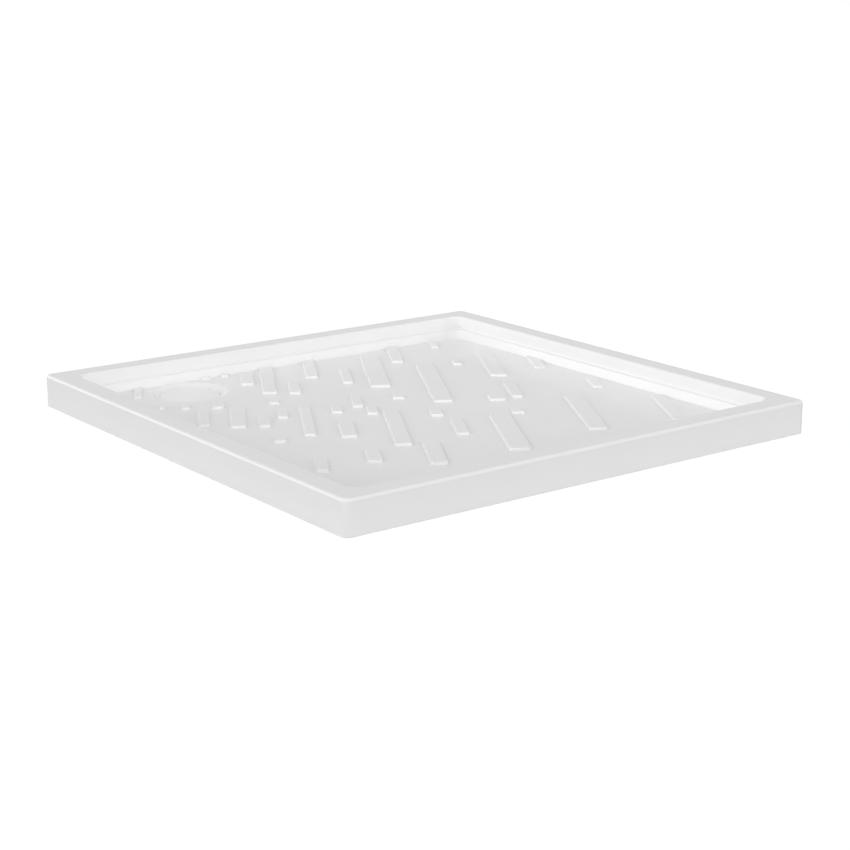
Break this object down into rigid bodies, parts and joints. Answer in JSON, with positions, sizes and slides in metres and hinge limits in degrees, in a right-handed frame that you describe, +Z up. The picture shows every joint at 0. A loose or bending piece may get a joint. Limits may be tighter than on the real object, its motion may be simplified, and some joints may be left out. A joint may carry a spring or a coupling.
{
  "type": "shower tray",
  "caption": "Square low white ceramic shower tray with a stepped basin wall, raised diagonal anti-slip bars and a round covered waste near one corner.",
  "frame": {"origin": "centre of the tray's footprint, on the plane that it stands on", "axes": "+Z up; the sides lie along X and Y; the waste is near the corner at -X, +Y"},
  "size_m": [0.9, 0.9, 0.055],
  "materials": {
    "tray_glaze": "white glaze over fireclay, gloss with a soft satin break",
    "cover_enamel": "white enamel on pressed steel, gloss",
    "carrier_plastic": "moulded light grey, fine matt grain",
    "strainer_steel": "pierced sheet, brushed",
    "pad_rubber": "matt black elastomer",
    "ring_rubber": "matt dark grey elastomer"
  },
  "bodies": {
    "tray": {"tray_body": "tray_glaze"},
    "strainer": {"strainer": "strainer_steel", "strainer_seat_ring": "ring_rubber"},
    "cover": {"cover_plate": "cover_enamel", "cover_carrier": "carrier_plastic", "cover_pads": "pad_rubber"}
  },
  "joints": [
    {"name": "strainer_lift", "type": "slide", "parent": "tray", "child": "strainer", "axis": [0, 0, 1], "range_m": [0, 0.06]},
    {"name": "cover_lift", "type": "slide", "parent": "strainer", "child": "cover", "axis": [0, 0, 1], "range_m": [0, 0.06]}
  ]
}
